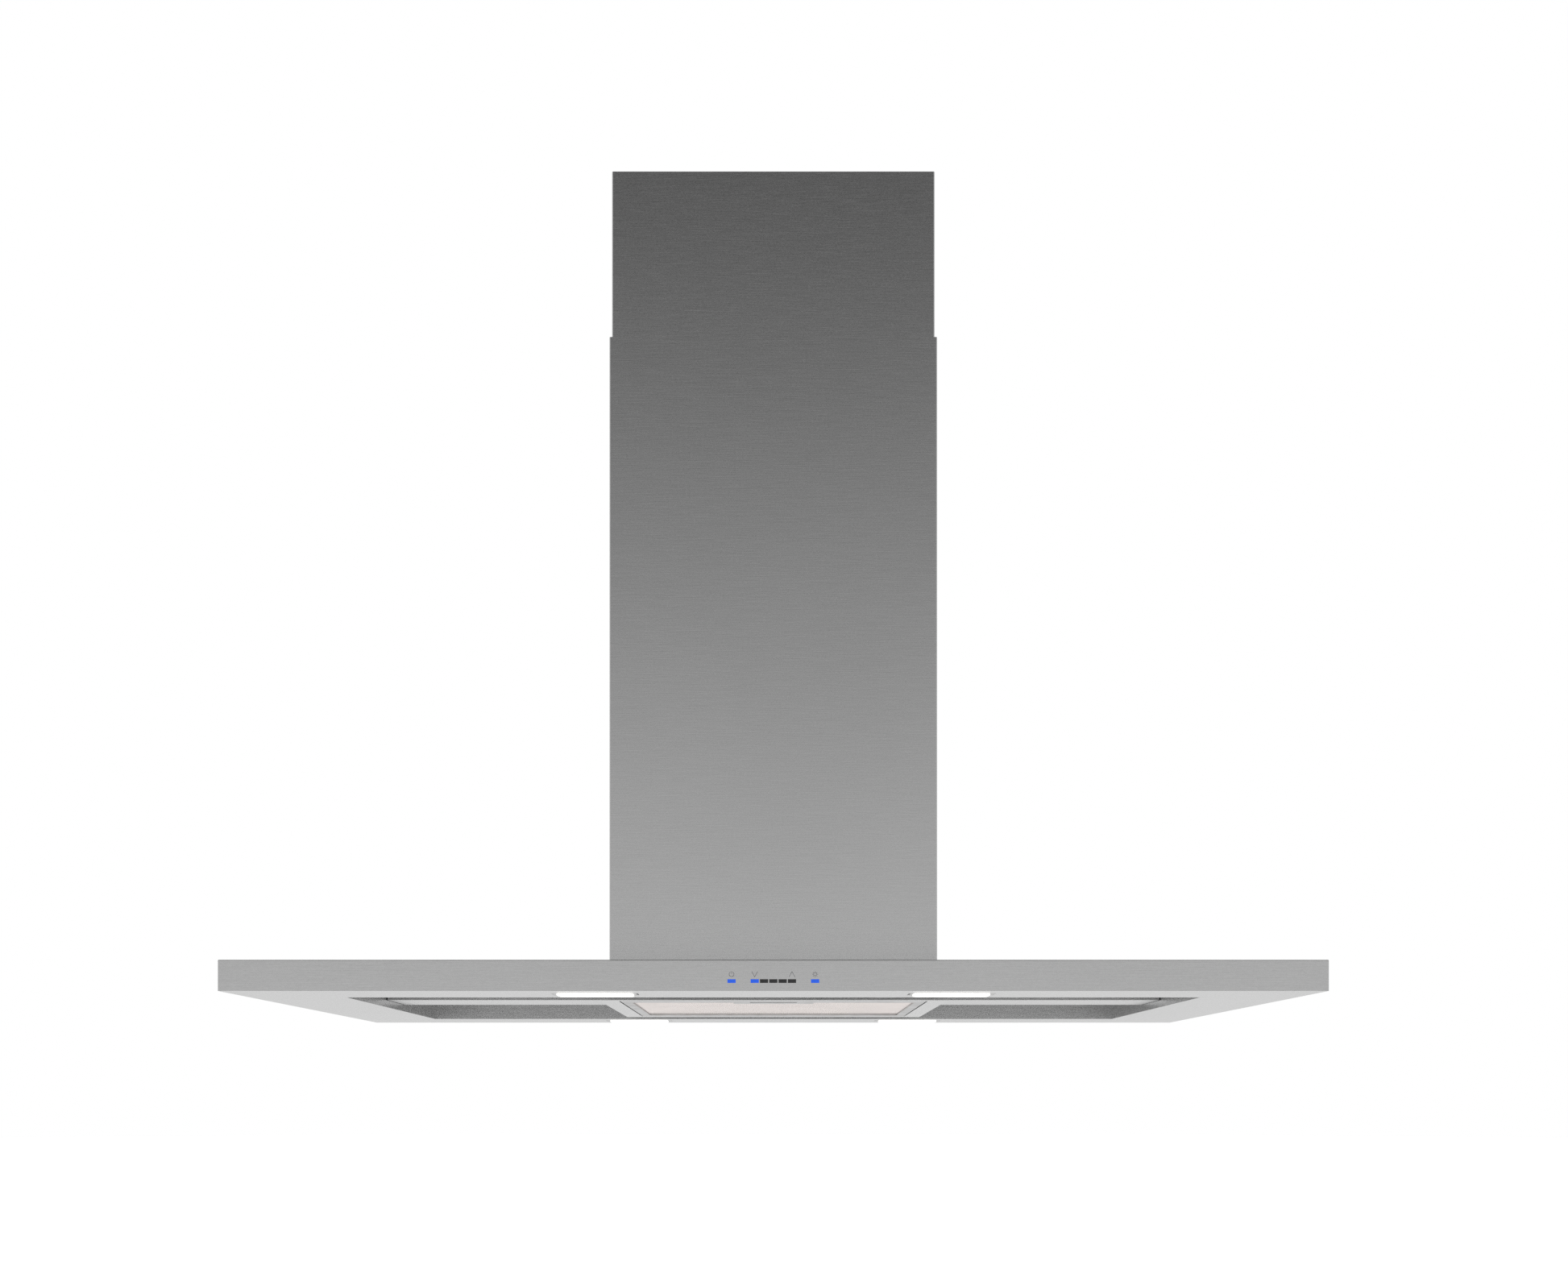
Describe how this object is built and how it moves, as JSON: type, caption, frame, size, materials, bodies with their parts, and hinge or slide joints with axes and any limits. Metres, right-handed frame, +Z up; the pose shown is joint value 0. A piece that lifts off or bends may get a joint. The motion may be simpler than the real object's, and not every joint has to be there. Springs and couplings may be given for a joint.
{
  "type": "island range hood",
  "caption": "Ceiling-hung kitchen hood: a wide flat rectangular canopy of brushed steel with a recessed mesh filter and lamps below, and a telescopic rectangular chimney above.",
  "frame": {"origin": "middle of the ceiling plate's bolt pattern, on its top face", "axes": "+X along the canopy's width, to the right for a person at the controls; +Y from the control side to the far side; +Z up"},
  "size_m": [1.067, 0.6322, 0.8898],
  "materials": {
    "stainless_sheet": "brushed",
    "galvanised_steel": "spangled zinc",
    "filter_aluminium": "satin",
    "mesh_aluminium": "expanded mesh",
    "latch_steel": "brushed",
    "pin_steel": "polished",
    "zinc_fastener": "zinc plated",
    "lamp_metal": "satin",
    "lamp_diffuser": "lit diffuser",
    "blue_window": "lit window",
    "dark_window": "unlit window",
    "circuit_board": "solder mask",
    "black_plastic": "moulded",
    "motor_enamel": "enamel",
    "capacitor_case": "moulded"
  },
  "bodies": {
    "ceiling_frame": {"ceiling_plate": "galvanised_steel", "upper_cover": "stainless_sheet", "upper_cover_screws": "zinc_fastener", "upper_frame_band": "galvanised_steel", "upper_post_front_left": "galvanised_steel", "upper_post_front_right": "galvanised_steel", "upper_post_rear_left": "galvanised_steel", "upper_post_rear_right": "galvanised_steel", "upper_post_screws": "zinc_fastener"},
    "hood": {"blower_box": "galvanised_steel", "cable_gland": "black_plastic", "canopy_shell": "stainless_sheet", "control_board": "circuit_board", "damper_pins": "pin_steel", "electronics_box": "galvanised_steel", "electronics_lid": "galvanised_steel", "filter_carrier": "stainless_sheet", "frame_bolts": "zinc_fastener", "indicator_light": "blue_window", "indicator_power": "blue_window", "indicator_speed_1": "blue_window", "indicator_speed_2": "dark_window", "indicator_speed_3": "dark_window", "indicator_speed_4": "dark_window", "indicator_speed_5": "dark_window", "lamp_bezel_front_left": "lamp_metal", "lamp_bezel_front_right": "lamp_metal", "lamp_bezel_rear_left": "lamp_metal", "lamp_bezel_rear_right": "lamp_metal", "lamp_boards": "circuit_board", "lamp_lens_front_left": "lamp_diffuser", "lamp_lens_front_right": "lamp_diffuser", "lamp_lens_rear_left": "lamp_diffuser", "lamp_lens_rear_right": "lamp_diffuser", "left_rail": "stainless_sheet", "lower_frame_band": "galvanised_steel", "lower_post_front_left": "galvanised_steel", "lower_post_front_right": "galvanised_steel", "lower_post_rear_left": "galvanised_steel", "lower_post_rear_right": "galvanised_steel", "motor": "motor_enamel", "motor_bracket": "galvanised_steel", "motor_capacitor": "capacitor_case", "outlet_collar": "galvanised_steel", "outlet_funnel": "black_plastic", "right_rail": "stainless_sheet", "rim_panel": "stainless_sheet", "scroll_band": "black_plastic", "scroll_side_left": "black_plastic", "scroll_side_right": "black_plastic"},
    "lower_cover": {"lower_cover": "stainless_sheet"},
    "filter": {"filter_frame": "filter_aluminium", "filter_mesh": "mesh_aluminium", "latch_springs": "pin_steel"},
    "filter_latch": {"filter_latch": "latch_steel"},
    "impeller": {"impeller": "black_plastic", "motor_shaft": "pin_steel"},
    "damper_left": {"damper_left": "galvanised_steel"},
    "damper_right": {"damper_right": "galvanised_steel"}
  },
  "joints": [
    {"name": "height_slide", "type": "slide", "parent": "ceiling_frame", "child": "hood", "axis": [0, 0, 1], "range_m": [-0.16, 0.02]},
    {"name": "cover_lift", "type": "slide", "parent": "hood", "child": "lower_cover", "axis": [0, 0, 1], "range_m": [0, 0.13]},
    {"name": "filter_hinge", "type": "hinge", "parent": "hood", "child": "filter", "pos_m": [0, 0.149, -0.8855], "axis": [1, 0, 0], "range_deg": [0, 75]},
    {"name": "latch_slide", "type": "slide", "parent": "filter", "child": "filter_latch", "axis": [0, 1, 0], "range_m": [0, 0.004], "stiffness_N_per_m": 600, "springref_m": -0.004, "deforming": ["latch_springs"]},
    {"name": "impeller_spin", "type": "hinge", "parent": "hood", "child": "impeller", "pos_m": [0, 0.014, -0.748], "axis": [1, 0, 0], "continuous": true},
    {"name": "damper_right_hinge", "type": "hinge", "parent": "hood", "child": "damper_right", "pos_m": [0.004, 0, -0.5415], "axis": [0, -1, 0], "range_deg": [0, 75]},
    {"name": "damper_left_hinge", "type": "hinge", "parent": "hood", "child": "damper_left", "pos_m": [-0.004, 0, -0.5415], "axis": [0, 1, 0], "range_deg": [0, 75]}
  ]
}
